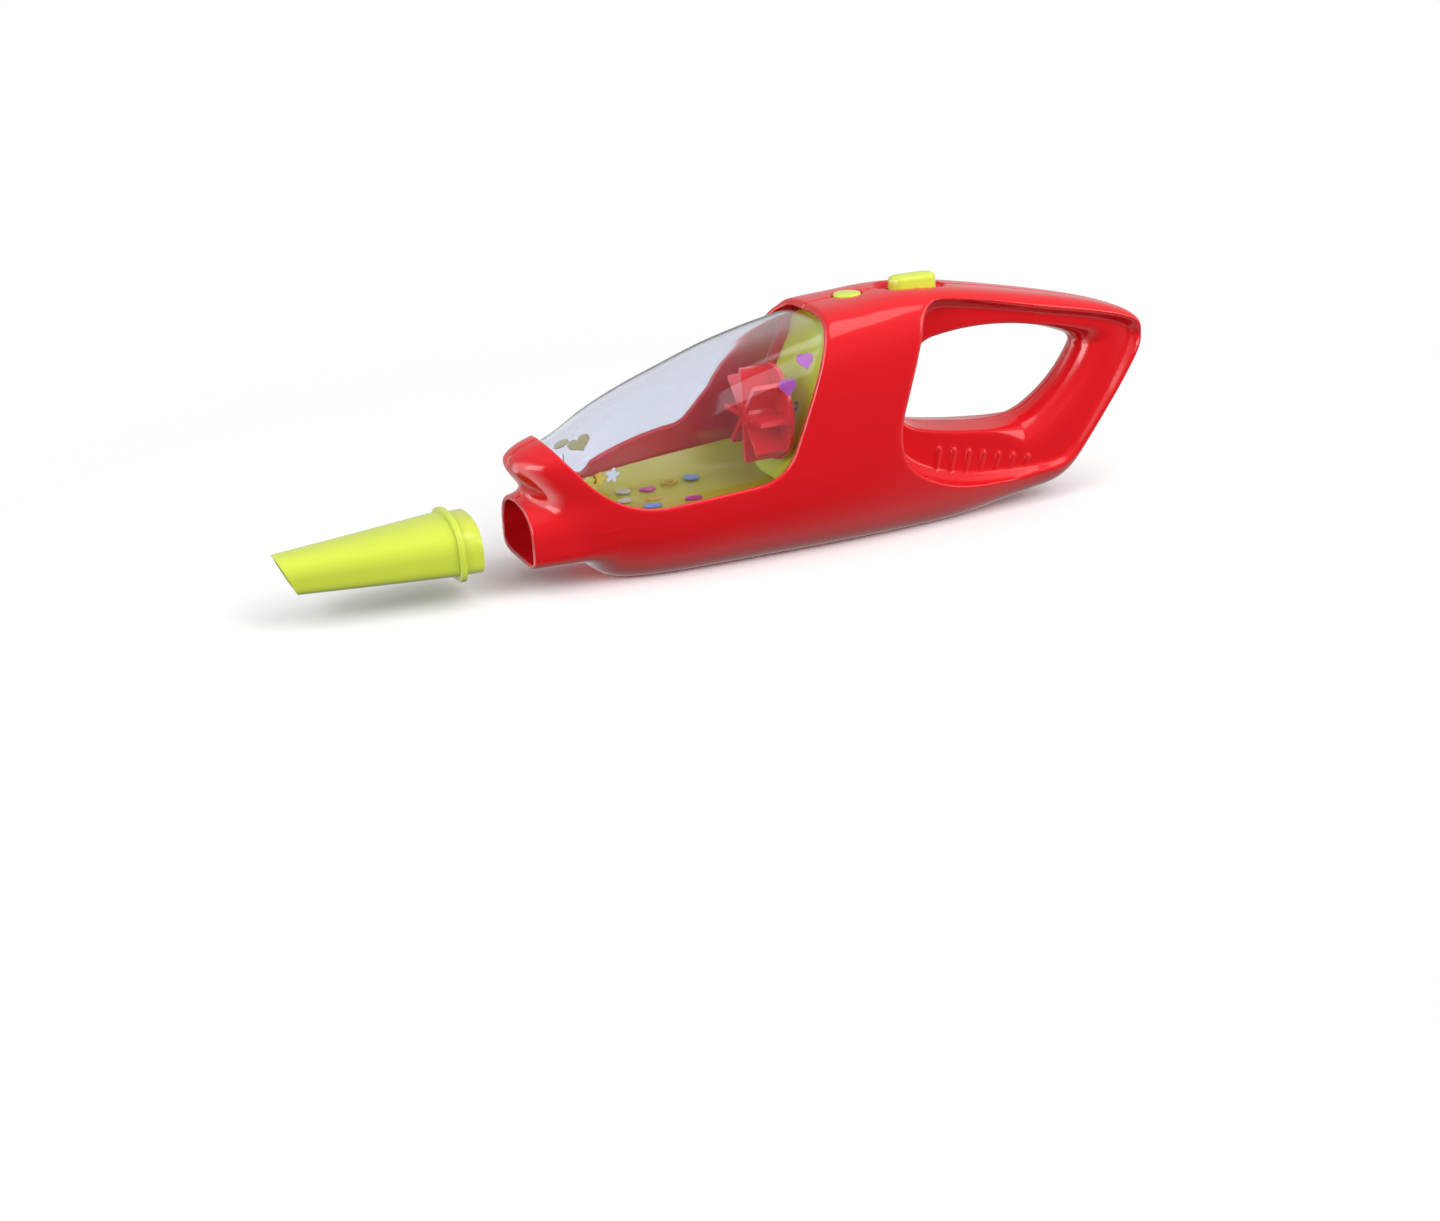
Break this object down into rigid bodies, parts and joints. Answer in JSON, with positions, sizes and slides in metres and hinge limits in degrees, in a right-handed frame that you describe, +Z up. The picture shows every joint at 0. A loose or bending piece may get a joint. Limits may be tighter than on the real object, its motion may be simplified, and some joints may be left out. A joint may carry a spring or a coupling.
{
  "type": "toy vacuum cleaner",
  "caption": "Hand-held toy vacuum cleaner: glossy two-half body with loop handle, clear dome over a whirl fan and dust tray, push buttons, and a pull-off tapered nozzle.",
  "frame": {"origin": "middle of the whole length and width, on the plane of the flat belly, with the nozzle pulled off as in the picture", "axes": "+X from the nozzle to the tail of the handle, +Y to the right half shell, +Z up"},
  "size_m": [0.2944, 0.0526, 0.08],
  "materials": {
    "red_plastic": "high gloss moulded red",
    "lime_plastic": "gloss moulded lime",
    "clear_plastic": "clear moulded",
    "black_plastic": "matt",
    "cell_sleeve": "printed sleeve, plain",
    "steel": "bright",
    "board_green": "satin",
    "grey_rubber": "matt",
    "red_sleeve": "satin",
    "black_sleeve": "satin",
    "purple_foil": "foil",
    "magenta_foil": "foil",
    "blue_foil": "foil",
    "silver_foil": "foil",
    "gold_foil": "foil"
  },
  "bodies": {
    "body": {"left_shell": "red_plastic", "right_shell": "red_plastic", "canopy": "clear_plastic", "dust_tray": "lime_plastic", "fan_wall": "lime_plastic", "motor_can": "steel", "motor_end_cap": "black_plastic", "motor_cradle": "black_plastic", "battery_box": "black_plastic", "battery_cells": "cell_sleeve", "battery_plates": "steel", "battery_springs": "steel", "battery_door": "red_plastic", "door_screw": "steel", "shell_screws": "steel", "circuit_board": "board_green", "power_dome": "grey_rubber", "sound_dome": "grey_rubber", "red_lead": "red_sleeve", "black_lead": "black_sleeve", "motor_leads": "black_sleeve", "purple_hearts": "purple_foil", "magenta_flakes": "magenta_foil", "blue_flakes": "blue_foil", "silver_flakes": "silver_foil", "gold_flakes": "gold_foil"},
    "whirl": {"whirl_fan": "red_plastic", "motor_shaft": "steel"},
    "power_key": {"power_button": "lime_plastic"},
    "sound_key": {"sound_button": "lime_plastic"},
    "nozzle": {"nozzle": "lime_plastic"}
  },
  "joints": [
    {"name": "fan_spin", "type": "hinge", "parent": "body", "child": "whirl", "pos_m": [0.015, 0, 0.0423], "axis": [1, 0, 0], "continuous": true},
    {"name": "power_press", "type": "slide", "parent": "body", "child": "power_key", "axis": [0, 0, -1], "range_m": [0, 0.0018], "stiffness_N_per_m": 600, "deforming": ["power_dome"]},
    {"name": "sound_press", "type": "slide", "parent": "body", "child": "sound_key", "axis": [0, 0, -1], "range_m": [0, 0.001], "stiffness_N_per_m": 600, "deforming": ["sound_dome"]},
    {"name": "nozzle_slide", "type": "slide", "parent": "body", "child": "nozzle", "axis": [1, 0, 0], "range_m": [0, 0.0209]}
  ]
}
